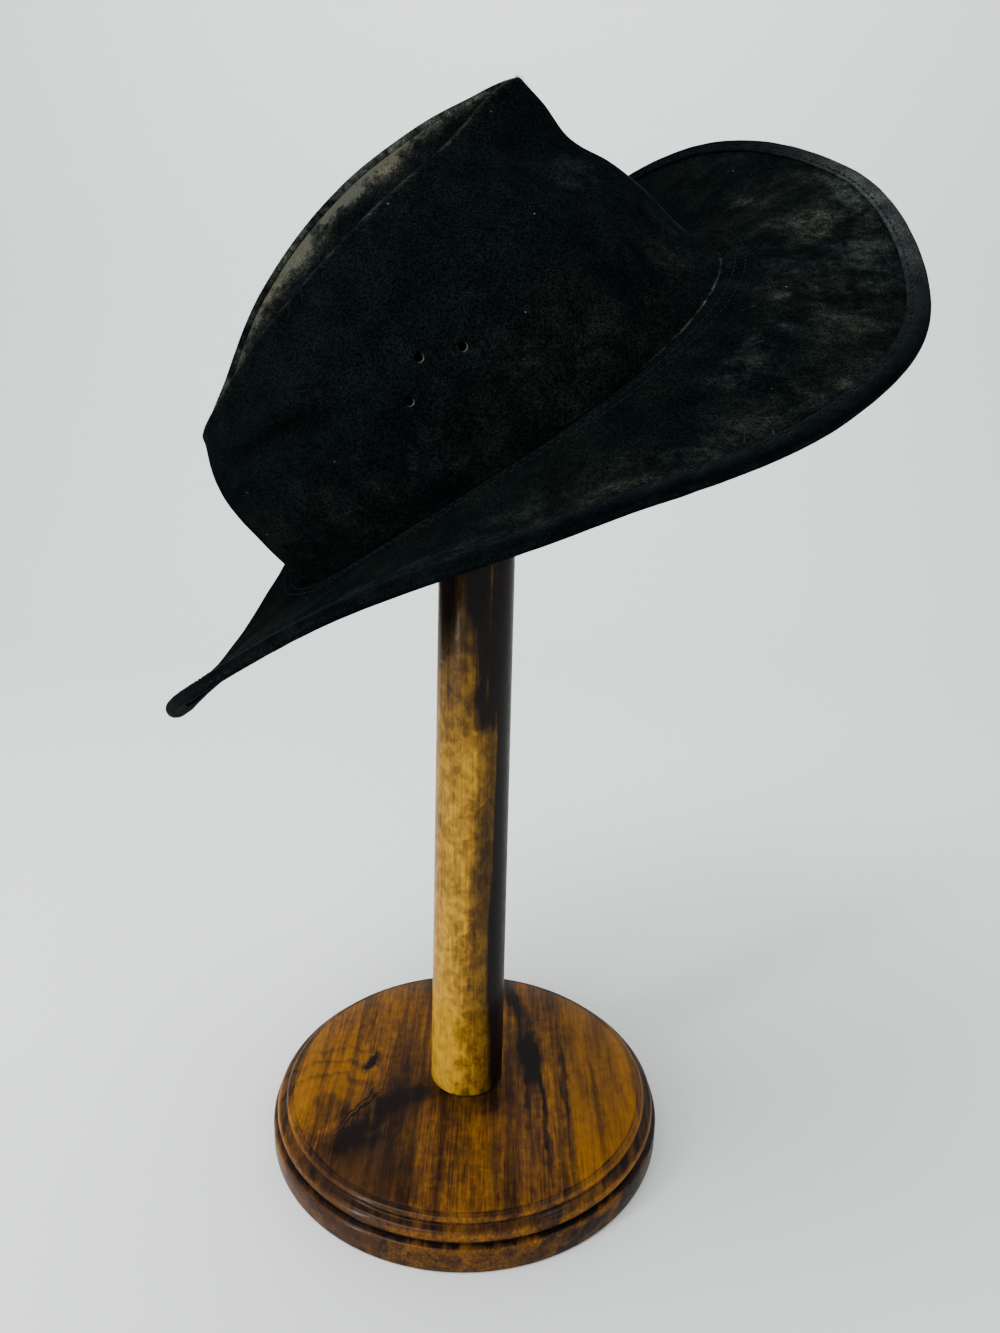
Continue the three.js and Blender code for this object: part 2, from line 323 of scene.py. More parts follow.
def blended(tree, factor, a, b, blend="MIX"):
    """Mixes two colours."""
    settings = {"data_type": "RGBA", "blend_type": blend, "clamp_factor": True}
    return new_node(tree, "Mix", {"Factor": factor, "A": a, "B": b}, **settings).outputs["Result"]


def bumped(height, strength, distance, **normal):
    """A relief, by its depth in metres; Normal=... lays it over another one."""
    values = {"Height": height, "Strength": strength, "Distance": distance, **normal}
    return new_node(height.id_data, "Bump", values).outputs["Normal"]


def suede_group():
    """Nap: fine grain, lighter and darker clouds, worn colour where the mask says, specks of lint."""
    tree, inside, outside = new_group("suede_nap", {"Dark": "Color", "Worn": "Color", "Wear": "Float"})
    place = object_place(tree)
    grain = noise_at(place, 1400, 3, 0.7)
    nap = noise_at(place, 300, 4, 0.65)
    patch = noise_at(place, 70, 5, 0.65)
    cloud = noise_at(place, 22, 3, 0.55)
    lint = new_node(tree, "TexVoronoi", {"Vector": place, "Scale": 95}).outputs["Distance"]
    # Worn where the mask, the patches and the nap agree; on the right panel the same colour gives a
    # painted highlight
    patchy = remapped(patch, 0.38, 0.64, 0.15, 1.6)
    nappy = remapped(nap, 0.34, 0.68, 0.15, 1.7)
    worn = product(inside["Wear"], patchy, nappy)
    color = blended(tree, worn, inside["Dark"], inside["Worn"])
    # Single fibres catch the light, less so where the nap is worn off, and it lies in soft clouds
    fibres = remapped(grain, 0.40, 0.68, 0.35, 2.2)
    clouds = remapped(cloud, 0.3, 0.7, 0.8, 1.2)
    patches = remapped(patch, 0.3, 0.7, 0.8, 1.25)
    worn_off = product(inside["Wear"], 0.5)
    uneven = product(fibres, clouds, patches)
    shade = new_node(tree, "Mix", {"Factor": worn_off, "A": uneven, "B": 1.1}, clamp_factor=True)
    color = blended(tree, 1.0, color, shade.outputs["Result"], "MULTIPLY")
    # The dye has faded to bluer and to browner patches
    browner = remapped(cloud, 0.42, 0.58, 0, 1)
    faded = blended(tree, browner, (0.93, 1.0, 1.04, 1), (1.05, 1.03, 0.92, 1))
    color = blended(tree, 1.0, color, faded, "MULTIPLY")
    color = blended(tree, remapped(lint, 0.026, 0.016, 0, 1), color, (0.16, 0.17, 0.16, 1))
    set_inputs(outside, {
        "Color": color,
        "Roughness": remapped(nap, 0, 1, 0.8, 1.0),
        "Normal": bumped(nap, 0.6, 0.0012, Normal=bumped(grain, 0.8, 0.0003)),
    })
    return tree


SUEDE_NAP = suede_group()
SUEDE_DARK = (0.0017, 0.0027, 0.0031, 1)
SUEDE_WORN = (0.054, 0.062, 0.050, 1)


def wear_of(tree):
    """The piece's own mask of how worn each point is, which on the right side panel also holds a painted
    highlight and on the binding painted sheen.
    """
    return new_node(tree, "Attribute", attribute_name="wear").outputs["Fac"]


def suede(name, dark, worn):
    """Black suede: fully dull, with a faint sheen from its raised fibres."""
    material, tree, shader = new_material(name)
    values = {"Dark": dark, "Worn": worn, "Wear": wear_of(tree)}
    nap = new_node(tree, "Group", values, node_tree=SUEDE_NAP).outputs
    set_inputs(shader, {
        "Base Color": nap["Color"], "Roughness": nap["Roughness"], "Normal": nap["Normal"],
        "Specular IOR Level": 0, "Sheen Weight": 0.003, "Sheen Roughness": 0.4,
        "Sheen Tint": (0.65, 0.9, 1.0, 1),
    })
    return material


def mark_wear(piece, wear_at):
    """Writes how worn each point is, with any painted highlight and sheen in the same mask, from wear_at
    of its u and v on the sheet.
    """
    mesh = piece.data
    uv = mesh.uv_layers["sheet"].data
    worn = mesh.attributes.new("wear", "FLOAT", "POINT")
    for loop in mesh.loops:
        worn.data[loop.vertex_index].value = wear_at(*uv[loop.index].uv)


def bump_at(value, centre, spread):
    return math.exp(-(((value - centre) / spread) ** 2))


def from_0_to_1(value):
    """Stops a value at 0 and at 1."""
    return min(1, max(0, value))


panel_suede = suede("black_suede", SUEDE_DARK, SUEDE_WORN)
PANEL_ACROSS = 300
PANEL_UP = 96
PANEL_RUN_MM = 300
END_ROWS_EVEN = 0.4
PANEL_LIP = 0.7
LIP_ROUND = 0.016
LIP_FALL = 0.45
FAR_RIDGE_LIFT = 3.4
# Swells of the leather in mm: shoulders, furrow and feet of the centre seams, front seam, cut edge
SEAM_SHOULDER = 0.8
SEAM_FURROW = 0.9
FOOT_BUNCH = 1.6
FRONT_SWELL = 2.8
EDGE_FLARE = 0.5
# The left side's creases are weaker than the right side's, further forward in degrees, and lower
LEFT_CREASE_SHARE = 0.6
LEFT_CREASE_FORWARD = 6
LEFT_CREASE_LOWER = 0.04
# How far apart the waves of the two sides are taken from the noise, so that they differ
SIDES_APART = 300
VENT_R = 1.45
VENT_DEPTH = 14
VENTS = ((89, 0.47), (96.3, 0.536), (102, 0.435))
VENT_AIM = (0.065, 0.985, 0.06)
CROWN_MIDDLE = Vector((0, 0, 40))
# Creases of the right side: their run in degrees and shares of the height, half width and depth in mm
CREASES = (
    (((-152, 0.78), (-141, 0.72), (-122.8, 0.614), (-111.8, 0.518)), 4.2, 2.8),
    (((-39, 0.74), (-35.9, 0.681), (-28, 0.62), (-21.4, 0.575)), 2.6, -1.6),
    (((-46, 0.86), (-38, 0.80), (-28, 0.776)), 3.5, 1.6),
    (((-20, 0.46), (-30, 0.50), (-44, 0.50)), 4.0, 0.8),
    (((-118, 0.30), (-104, 0.20), (-88, 0.17)), 5.0, 1.0),
    (((-76, 0.88), (-88, 0.74), (-96, 0.62)), 6.0, 0.9),
)
CREASE_REACH = 60
MM_PER_DEGREE = 1.4
MM_PER_HEIGHT = 85


def row_height(v):
    """Rows lie closer together near the seam and the ridge."""
    return END_ROWS_EVEN * v + (1 - END_ROWS_EVEN) * (0.5 - 0.5 * math.cos(math.pi * v))


def rounding(height):
    """Share of the skin's full thickness at a height: the upper edge is rounded off."""
    to_edge = from_0_to_1((1 - height) / LIP_ROUND)
    return math.sqrt(1 - (1 - to_edge) ** 2)


def crease_depth(degrees, height):
    """Depth of the creases at a point: a valley with a low shoulder on each side, fading at its ends."""
    here = Vector((degrees * MM_PER_DEGREE, height * MM_PER_HEIGHT))
    depth = 0
    for run, half, deep in CREASES:
        points = [Vector((at * MM_PER_DEGREE, share * MM_PER_HEIGHT)) for at, share in run]
        if (here - points[len(points) // 2]).length > CREASE_REACH:
            continue
        best, best_along = math.inf, 0
        for k, (a, b) in enumerate(zip(points, points[1:])):
            step = b - a
            t = from_0_to_1((here - a).dot(step) / step.length_squared)
            far = (here - a - step * t).length
            if far < best:
                best, best_along = far, (k + t) / (len(points) - 1)
        fade = math.sin(math.pi * (0.08 + 0.84 * best_along))
        depth += deep * fade * (bump_at(best, 0, half) - 0.35 * bump_at(best, 2 * half, half))
    return depth


def far_ridge_lift(side, u):
    """The left ridge stands up further than its mirror half, in mm."""
    return FAR_RIDGE_LIFT * bump_at(u, 0.56, 0.2) if side > 0 else 0


def panel_point(side, u, v):
    """A point of a side panel's outer face: u runs from the front seam to the back seam, v upward."""
    height = row_height(v)
    angle = side * math.pi * u
    degrees = math.degrees(angle)
    base = crown_wall(angle, height)
    swell = leather_waves(base + Vector((0, SIDES_APART * side, 0)), 26, 0.9)
    swell += leather_waves(base, 9, 0.25)
    if side < 0:
        swell -= crease_depth(degrees, height)
    else:
        mirrored = -degrees - LEFT_CREASE_FORWARD
        swell -= LEFT_CREASE_SHARE * crease_depth(mirrored, height + LEFT_CREASE_LOWER)
    # The centre seams pull the leather in, between two slight shoulders
    for seam_at in (0, 1):
        far = abs(u - seam_at) * PANEL_RUN_MM
        swell += SEAM_SHOULDER * bump_at(far, 3.5, 2.2) - SEAM_FURROW * bump_at(far, 0, 1.6)
    # The front seam runs straight down from the tip before it flares
    swell += FRONT_SWELL * bump_at(u, 0, 0.07) * bump_at(height, 0.3, 0.14)
    # The ridge is a clean line, and its upper edge is rounded
    swell *= 1 - 0.9 * bump_at(height, 1, 0.08)
    swell -= LIP_FALL * CROWN_SKIN * (1 - rounding(height))
    # Bunched leather where the centre seams meet the brim
    low = bump_at(height, 0, 0.09)
    for seam_at in (0, 180):
        away = abs(abs(degrees) - seam_at)
        swell += FOOT_BUNCH * low * bump_at(away, 4, 3.2) * math.cos(away * 1.1)
    swell *= min(1, height / 0.02)
    # The cut edge flares a little over the brim at the front
    flare = EDGE_FLARE * bump_at(height, 0, 0.008) * bump_at(degrees, -40, 34)
    lip = PANEL_LIP * bump_at(height, 1, 0.03)
    point = crown_wall(angle, height, swell + flare)
    point.y -= side * SEAM_PRESS
    point.z += PIECE_GAP + lip + far_ridge_lift(side, u) * bump_at(height, 1, 0.3)
    return point


def panel_wear_and_highlight(side, u, v):
    height = row_height(v)
    degrees = side * 180 * u
    # Both panels are worn at the ridge, then beside the front seam and along the back seam
    worn = 0.005 + 0.014 * bump_at(height, 1, 0.05) + 0.15 * bump_at(height, 1, 0.007)
    worn += 0.8 * bump_at(u, 0.011, 0.004) * bump_at(height, 0.35, 0.3) + 0.12 * bump_at(u, 1, 0.008)
    if side < 0:
        # The right one also in dashes along its cut edge, and a little paler low down; the spot at the
        # front is painted highlight on the ridge of the pinched fold
        dashes = 0.75 + 0.6 * noise.noise(Vector((degrees * 0.4, 0.5, 3.0)))
        worn += 1.3 * dashes * bump_at(height, 0, 0.004) * bump_at(degrees, -42, 20)
        worn += 0.07 * bump_at(degrees, -33, 9) * bump_at(height, 0.63, 0.06)
        worn += 0.03 * bump_at(height, 0.2, 0.22)
    else:
        worn += 0.55 * bump_at(height, 1, 0.03)
    return worn


def speckled(name, scale, spread, colors, roughness, specular, relief=0.0):
    """A material that varies finely between two colours, with a relief in metres from the same noise."""
    material, tree, shader = new_material(name)
    fine = noise_at(object_place(tree), scale, 2)
    ramp = new_node(tree, "ValToRGB", {"Fac": fine})
    for stop, position, color in zip(ramp.color_ramp.elements, spread, colors):
        stop.position = position
        stop.color = color
    values = {"Base Color": ramp.outputs["Color"], "Roughness": roughness, "Specular IOR Level": specular}
    if relief:
        values["Normal"] = bumped(fine, 0.8, relief)
    set_inputs(shader, values)
    return material


def add_cone(bm, middle, aim, foot_r, tip_r, length, segments, cap_ends=False):
    """Adds a cone or a round rod that lies along aim."""
    place = Matrix.Translation(middle) @ aim.to_track_quat("Z", "Y").to_matrix().to_4x4()
    sizes = {"radius1": foot_r, "radius2": tip_r, "depth": length, "segments": segments}
    bmesh.ops.create_cone(bm, matrix=place, cap_ends=cap_ends, **sizes)


CUT_COLORS = ((0.03, 0.032, 0.03, 1), (0.11, 0.115, 0.11, 1))
cut_edge = speckled("cut_leather_edge", 2200, (0, 1), CUT_COLORS, 0.8, 0)

for side, name in ((-1, "crown_side_right"), (1, "crown_side_left")):
    panel = shaped_sheet(name + "_suede", PANEL_ACROSS, PANEL_UP, lambda u, v: panel_point(side, u, v))
    face_away(panel, on_hat(CROWN_MIDDLE))
    mark_wear(panel, lambda u, v: panel_wear_and_highlight(side, u, v))
    rounded = panel.vertex_groups.new(name="rounded_edge")
    uv = panel.data.uv_layers["sheet"].data
    for loop in panel.data.loops:
        rounded.add([loop.vertex_index], rounding(row_height(uv[loop.index].uv[1])), "REPLACE")
    panel.data.materials.append(panel_suede)
    thicken(panel, CROWN_SKIN, "rounded_edge")
    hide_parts(name)
    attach(panel, "root")
    # The three vents are punched through with a round cutter, which leaves a paler cut edge
    bm = bmesh.new()
    for degrees, height in VENTS:
        angle = side * math.radians(degrees)
        aim = Vector((VENT_AIM[0], side * VENT_AIM[1], VENT_AIM[2])).normalized()
        add_cone(bm, crown_wall(angle, height), aim, VENT_R, VENT_R, VENT_DEPTH, 24, cap_ends=True)
    bmesh.ops.transform(bm, matrix=HAT_TO_SCENE, verts=bm.verts)
    cutter = new_object("vent_cutter", bm, smooth=False)
    cutter.data.materials.append(cut_edge)
    cut = panel.modifiers.new("vents", "BOOLEAN")
    cut.object = cutter
    cut.solver = "EXACT"
    cut.material_mode = "TRANSFER"
    bpy.context.view_layer.objects.active = panel
    for modifier in list(panel.modifiers):
        bpy.ops.object.modifier_apply(modifier=modifier.name)
    bpy.data.objects.remove(cutter)


# Crown top panel
# One long pointed oval of suede, sewn inside the side panels' upper edges. It sinks along the
# middle, so that two ridges stand up. Its far slope is the most worn and faded part of the hat.
TOP_SINK = 15.4
TOP_EDGE_POWER = 1.8
TOP_FLOOR_POWER = 1.2
TOP_END = 0.03
TOP_TURNED = 0.02
TOP_TUCK = 1.3
TUCK_SHARE = 0.02
TURNED_DROP = 0.08
TURNED_IN = 0.5
TOP_ALONG = 170
TOP_ACROSS = 84
TOP_WORN = (0.044, 0.042, 0.031, 1)


def wall_inward(angle, height):
    """The wall's unit normal, turned into the hollow."""
    small = 0.001
    at = min(height, 1 - small)
    along = crown_wall(angle + small, at) - crown_wall(angle - small, at)
    up = crown_wall(angle, at + small) - crown_wall(angle, at - small)
    turned = along.cross(up).normalized()
    if turned.dot(Vector((math.cos(angle), math.sin(angle), 0))) > 0:
        turned.negate()
    return turned


def top_edge(side, angle):
    """Where the top panel meets a side panel's upper edge, just inside its thickness."""
    ridge = crown_wall(side * angle, 1)
    ridge.y -= side * SEAM_PRESS
    ridge.z += PIECE_GAP + far_ridge_lift(side, angle / math.pi)
    return ridge + wall_inward(side * angle, 1) * (CROWN_SKIN + PIECE_GAP)


def seen_share(v):
    """From 0 to 1 across the part of the panel that is seen, and beyond that where it is turned down."""
    return (row_height(v) - TOP_TURNED) / (1 - 2 * TOP_TURNED)


def top_point(u, v):
    """A point of the top panel's upper face: u runs from front to back, v from right to left."""
    angle = math.pi * (TOP_END + (1 - 2 * TOP_END) * u)
    # Its two ends are tucked into the seams of the side panels
    at_front = max(0, 1 - u / TUCK_SHARE)
    at_back = max(0, 1 - (1 - u) / TUCK_SHARE)
    tuck = Vector((TOP_TUCK * (at_front - at_back), 0, 0))
    # Its edges turn down inside the side panels, as the seam's allowance
    v = seen_share(v)
    turned = (abs(2 * v - 1) - 1) * (1 - 2 * TOP_TURNED) / (2 * TOP_TURNED)
    if turned > 0:
        side = -1 if v < 0.5 else 1
        lower = crown_wall(side * angle, 1 - TURNED_DROP * turned) - crown_wall(side * angle, 1)
        return top_edge(side, angle) + tuck + lower + wall_inward(side * angle, 1) * TURNED_IN * turned
    across = abs(2 * v - 1)
    point = top_edge(-1, angle).lerp(top_edge(1, angle), v) + tuck
    point.z -= TOP_SINK * math.sin(angle) * (1 - across ** TOP_EDGE_POWER) ** TOP_FLOOR_POWER
    inside = 1 - across ** 6
    point.z += inside * (leather_waves(point, 22, 1.4) + leather_waves(point, 8, 0.4))
    return point


def top_wear(u, v):
    """Only the highest part of the far slope is worn pale, with a lighter line where that begins."""
    v = seen_share(v)
    ragged = 0.02 * noise.noise(Vector((u * 14, 2.0, 0.0)))
    begins = 0.985 - 0.05 * bump_at(u, 0.5, 0.14) + ragged
    worn = 1 / (1 + math.exp((begins - v) / 0.026))
    strength = 0.7 + 1.6 * bump_at(u, 0.5, 0.26)
    return 0.03 + strength * worn + 0.2 * bump_at(v, begins, 0.01) * bump_at(u, 0.62, 0.2)


crown_top = shaped_sheet("crown_top_suede", TOP_ALONG, TOP_ACROSS, top_point)
face_away(crown_top, on_hat(Vector((0, 0, 0))))
mark_wear(crown_top, top_wear)
crown_top.data.materials.append(suede("faded_suede", SUEDE_DARK, TOP_WORN))
thicken(crown_top, CROWN_SKIN)
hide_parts("crown_top")
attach(crown_top, "root")


# Brim
# One wide stiff sheet of suede with an oval hole. A band of it round the crown stands up a little,
# because the crown's turned edge lies under it, and the front has been scuffed by hands.
BRIM_SKIN = 2.0
BRIM_CURL = 1.25
BRIM_INNER_EDGE = -3
BRIM_ROUND = 400
BRIM_ACROSS = 72
BAND_WIDTH = 9.5
BAND_HEIGHT = 0.8
BAND_STEEPNESS = 2.2
BRIM_DARK = (0.0013, 0.0022, 0.0023, 1)
BRIM_WORN = (0.022, 0.027, 0.023, 1)
# Scuffs: place in degrees, share of the way out, spreads of both and strength
SCUFFS = (
    (9, 0.49, 4, 0.05, 0.2),
    (-4, 0.86, 9, 0.07, 0.4),
    (-9, 0.62, 3, 0.12, 0.22),
    (-10, 0.40, 2.6, 0.13, 0.24),
    (-17, 0.78, 4, 0.12, 0.25),
    (-22, 0.66, 3, 0.13, 0.2),
    (-28, 0.62, 12, 0.25, 0.12),
    (-37, 0.40, 1.6, 0.035, 0.22),
    (-46, 0.47, 1.2, 0.05, 0.4),
    (-52, 0.40, 2.5, 0.02, 0.35),
    (-58, 0.47, 5, 0.09, 0.25),
    (-55, 0.89, 7, 0.03, 0.12),
    (-70, 0.80, 12, 0.10, 0.12),
    (-100, 0.78, 34, 0.16, 0.14),
    (-138, 0.06, 26, 0.05, 0.16),
    (-152, 0.6, 20, 0.3, 0.12),
)


def brim_edge(angle):
    reach = round_hat("reach", angle)
    return Vector((reach * math.cos(angle), reach * math.sin(angle), round_hat("lift", angle)))


def brim_width(angle):
    return (brim_edge(angle).xy - crown_wall(angle, 0).xy).length


def brim_surface(angle, outward):
    """A point of the brim's upper face, so many millimetres out from the crown seam."""
    seam = crown_wall(angle, 0)
    edge = brim_edge(angle)
    share = outward / brim_width(angle)
    point = seam.lerp(edge, share)
    point.z = seam.z + (edge.z - seam.z) * max(share, 0) ** BRIM_CURL
    return point


def brim_frame(angle, outward):
    """Three directions on the brim: round it, outward and up."""
    small = 0.01
    along = brim_surface(angle + small, outward) - brim_surface(angle - small, outward)
    out = brim_surface(angle, outward + 0.5) - brim_surface(angle, outward - 0.5)
    along.normalize()
    up = out.cross(along).normalized()
    if up.z < 0:
        up.negate()
    return along, out.normalized(), up


def brim_relief(angle, outward):
    """How far the brim's skin stands up from its plain form."""
    point = brim_surface(angle, outward)
    width = brim_width(angle)
    band = 1 / (1 + math.exp((outward - BAND_WIDTH) * BAND_STEEPNESS))
    rise = BAND_HEIGHT * band * from_0_to_1(outward / 1.5)
    # The leather waves freely away from the crown's seam and from the binding
    free = from_0_to_1((outward - 2) / 8) * from_0_to_1((width - 9 - outward) / 6)
    return rise + free * (leather_waves(point, 34, 1.3) + leather_waves(point, 11, 0.3))


def brim_point(u, v):
    """A point of the upper face: u runs round the brim from the back, v from the hole to the edge."""
    angle = math.pi * (2 * u - 1)
    width = brim_width(angle)
    outward = BRIM_INNER_EDGE + (width - BRIM_INNER_EDGE) * v
    return brim_surface(angle, outward) + Vector((0, 0, brim_relief(angle, outward)))


def brim_wear(u, v):
    degrees = 360 * u - 180
    # Brush marks run outward, so the pattern is stretched across the brim
    streak = noise.noise(Vector((degrees * 0.22, v * 2.2, 4.0)))
    streak += 0.6 * noise.noise(Vector((degrees * 0.7, v * 4.0, 9.0)))
    worn = 0.02 + 0.10 * bump_at(degrees, -16, 30) * bump_at(v, 0.6, 0.4)
    for at, share, spread, wide, strength in SCUFFS:
        worn += strength * bump_at(degrees, at, spread) * bump_at(v, share, wide)
    return worn * min(1.7, max(0.3, 1 + 1.1 * streak))


brim = shaped_sheet("brim_suede", BRIM_ROUND, BRIM_ACROSS, brim_point, ring=True)
face_away(brim, on_hat(Vector((0, 0, -400))))
mark_wear(brim, brim_wear)
brim.data.materials.append(suede("brim_suede", BRIM_DARK, BRIM_WORN))
thicken(brim, BRIM_SKIN)
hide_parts("brim")
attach(brim, "root")


# Brim binding
# A strip of thin smooth leather, folded round the brim's edge and sewn through near its inner edge.
# Hands have rubbed it pale at the front right, where a sheen is painted in as well, and a painted sheen
# lies along the inner band of its near side, which has a fine raised grain.
BINDING_SKIN = 0.9
BINDING_WIDTH = 5.2
BINDING_ROUND = 480
BINDING_STEPS = 30
EDGE_HALF = BRIM_SKIN / 2 + PIECE_GAP + BINDING_SKIN
PUCKERS_PER_RADIAN = 140
PUCKER_INSET = 1.4
PUCKER_DEPTH = 0.14
STITCH_INSET = 1.3
STITCH_DENT = 0.22
BINDING_DARK = (0.0006, 0.0012, 0.0017, 1)
BINDING_LIGHT = (0.0022, 0.0036, 0.0045, 1)
BINDING_RUBBED_AND_SHEEN = (0.036, 0.042, 0.040, 1)


def binding_section(v):
    """Outward distance and lift of the strip's outer face, from the top round to the underside."""
    flat = BINDING_WIDTH / (2 * BINDING_WIDTH + math.pi * EDGE_HALF)
    if v < flat:
        share = v / flat
        return -BINDING_WIDTH * (1 - share), EDGE_HALF - 0.5 * (1 - share) ** 6
    if v > 1 - flat:
        share = (1 - v) / flat
        return -BINDING_WIDTH * (1 - share), -EDGE_HALF + 0.5 * (1 - share) ** 6
    turn = math.pi * (v - flat) / (1 - 2 * flat)
    return 0.75 * EDGE_HALF * math.sin(turn), EDGE_HALF * math.cos(turn)


def binding_point(u, v):
    angle = math.pi * (2 * u - 1)
    out_by, lift = binding_section(v)
    width = brim_width(angle)
    _, out, up = brim_frame(angle, min(width + out_by, width - 0.5))
    if out_by <= 0:
        base = brim_surface(angle, width + out_by)
    else:
        base = brim_surface(angle, width) + out * out_by
    pucker = PUCKER_DEPTH * math.sin(angle * PUCKERS_PER_RADIAN)
    pucker *= bump_at(out_by, -BINDING_WIDTH + PUCKER_INSET, 1.6)
    stitch_line = -STITCH_DENT * bump_at(out_by, -BINDING_WIDTH + STITCH_INSET, 0.7)
    swell = leather_waves(base, 7, 0.3)
    side = 1 if lift > 0 else -1
    return base + up * (lift - BRIM_SKIN / 2 + side * (pucker + stitch_line + swell * 0.5))


def binding_wear_and_sheen(u, v):
    degrees = 360 * u - 180
    top_side = 1 / (1 + math.exp((v - 0.42) * 30))
    streak = noise.noise(Vector((degrees * 0.5, v * 3, 7.0)))
    # Pale at the front right, partly wear and partly painted sheen; painted sheen also along the inner
    # band of the near side, and the folded edge a little paler
    front = bump_at(degrees, -9, 17) * top_side
    inner = 0.1 * bump_at(v, 0.08, 0.12) * bump_at(degrees, -70, 60)
    edge = 0.05 * bump_at(v, 0.5, 0.06)
    return (0.01 + 0.65 * front + inner + edge) * max(0.2, 1 + 0.9 * streak)


# Fine leather grain with a soft mottle, rubbed pale and given a painted sheen where the mask says
binding_leather, tree, shader = new_material("binding_leather")
grain = noise_at(object_place(tree), 1900, 3, 0.75)
mottle = noise_at(object_place(tree), 150, 4, 0.6)
rubbed_and_sheen = product(remapped(grain, 0.35, 0.65, 0.35, 1.3), wear_of(tree))
color = blended(tree, remapped(mottle, 0.4, 0.75, 0, 1), BINDING_DARK, BINDING_LIGHT)
color = blended(tree, rubbed_and_sheen, color, BINDING_RUBBED_AND_SHEEN)
dots = remapped(grain, 0.4, 0.65, 0.6, 1.6)
set_inputs(shader, {
    "Base Color": blended(tree, 1.0, color, dots, "MULTIPLY"),
    "Roughness": remapped(mottle, 0, 1, 0.5, 0.8),
    "Normal": bumped(grain, 0.7, 0.0003),
    "Specular IOR Level": 0.002,
    "Sheen Weight": 0.001,
})

binding = shaped_sheet("brim_binding_leather", BINDING_ROUND, BINDING_STEPS, binding_point, ring=True)
binding.data.materials.append(binding_leather)
mark_wear(binding, binding_wear_and_sheen)
top_face = max(binding.data.polygons, key=lambda face: face.center.z)
if top_face.normal.z < 0:
    binding.data.flip_normals()
thicken(binding, BINDING_SKIN)
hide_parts("brim_binding")
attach(binding, "root")


# Stitching
# Black thread, lockstitched in a machine: one row near the binding's inner edge, two rows on the band
# of the brim round the crown. Each stitch is a short slack bead of thread that dips in at its ends.
THREAD_R = 0.28
THREAD_PROUD = 0.04
THREAD_SUNK = 0.2
ROW_SAMPLES = 720
HALF_STITCH_SHARE = 0.4
BINDING_STITCH = 3.6
BAND_STITCH = 3.4
OUTER_ROW = 8.0
INNER_ROW = 4.6
THREAD_COLORS = ((0.0016, 0.0024, 0.0030, 1), (0.010, 0.014, 0.017, 1))
thread = speckled("black_thread", 2500, (0, 1), THREAD_COLORS, 0.7, 0.005, relief=0.0002)


def on_hat_piece(name, bm, material):
    """Takes a mesh in the hat's millimetres into the scene, as a piece that goes with the hat."""
    bmesh.ops.transform(bm, matrix=HAT_TO_SCENE, verts=bm.verts)
    bmesh.ops.recalc_face_normals(bm, faces=bm.faces)
    piece = new_object(name, bm)
    piece.data.materials.append(material)
    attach(piece, "root")


def stitch_row(name, length, place):
    """A closed row of stitches; place(angle) gives a point and its along, out and up."""
    marks = [place(2 * math.pi * i / ROW_SAMPLES - math.pi)[0] for i in range(ROW_SAMPLES + 1)]
    run = [0]
    for a, b in zip(marks, marks[1:]):
        run.append(run[-1] + (b - a).length)
    count = round(run[-1] / length)
    bm = bmesh.new()
    spot = 0
    for i in range(count):
        target = run[-1] * (i + 0.5) / count
        while run[spot + 1] < target:
            spot += 1
        share = (target - run[spot]) / (run[spot + 1] - run[spot])
        at, along, out, up = place(2 * math.pi * (spot + share) / ROW_SAMPLES - math.pi)
        turned = Matrix((along, out, up)).transposed().to_4x4()
        half = HALF_STITCH_SHARE * run[-1] / count
        stretch = Matrix.Diagonal((half, THREAD_R, THREAD_R, 1))
        bmesh.ops.create_uvsphere(
            bm, u_segments=6, v_segments=5, radius=1,
            matrix=Matrix.Translation(at + up * THREAD_PROUD) @ turned @ stretch,
        )
    on_hat_piece(name, bm, thread)


def binding_stitch(angle):
    outward = brim_width(angle) - BINDING_WIDTH + STITCH_INSET
    along, out, up = brim_frame(angle, outward)
    lift = PIECE_GAP + BINDING_SKIN - THREAD_SUNK
    return brim_surface(angle, outward) + up * lift, along, out, up


def band_stitch(angle, outward):
    along, out, up = brim_frame(angle, outward)
    return brim_surface(angle, outward) + up * brim_relief(angle, outward), along, out, up


stitch_row("binding_stitches", BINDING_STITCH, binding_stitch)
stitch_row("band_stitches_outer", BAND_STITCH, lambda angle: band_stitch(angle, OUTER_ROW))
stitch_row("band_stitches_inner", BAND_STITCH, lambda angle: band_stitch(angle, INNER_ROW))


# Raised nap
# Fibres of the suede that stand up along the ridges, at the crown's tip and on the brim's frayed
# lower edge. Each is a short tapered hair, leaning its own way.
FIBRE_R = 0.05
FIBRE_TIP_R = 0.01
FIBRE_LEAN = 0.8
FIBRE_SUNK = 0.1
FIBRE_COLORS = ((0.005, 0.006, 0.006, 1), (0.04, 0.04, 0.033, 1))
fibre = speckled("nap_fibre", 400, (0.35, 0.65), FIBRE_COLORS, 0.9, 0.05)
chance = random.Random(7)


def nap_row(name, count, place, shortest, longest):
    """Scatters fibres; place() gives a random root in the hat's millimetres and the way it stands."""
    bm = bmesh.new()
    for _ in range(count):
        root, stands = place()
        lean = Vector([chance.uniform(-1, 1) for _ in range(3)])
        way = (stands + lean * FIBRE_LEAN).normalized()
        length = shortest + (longest - shortest) * chance.random() ** 2
        middle = root + way * (length / 2 - FIBRE_SUNK)
        add_cone(bm, middle, way, FIBRE_R, FIBRE_TIP_R, length, 3)
    on_hat_piece(name, bm, fibre)


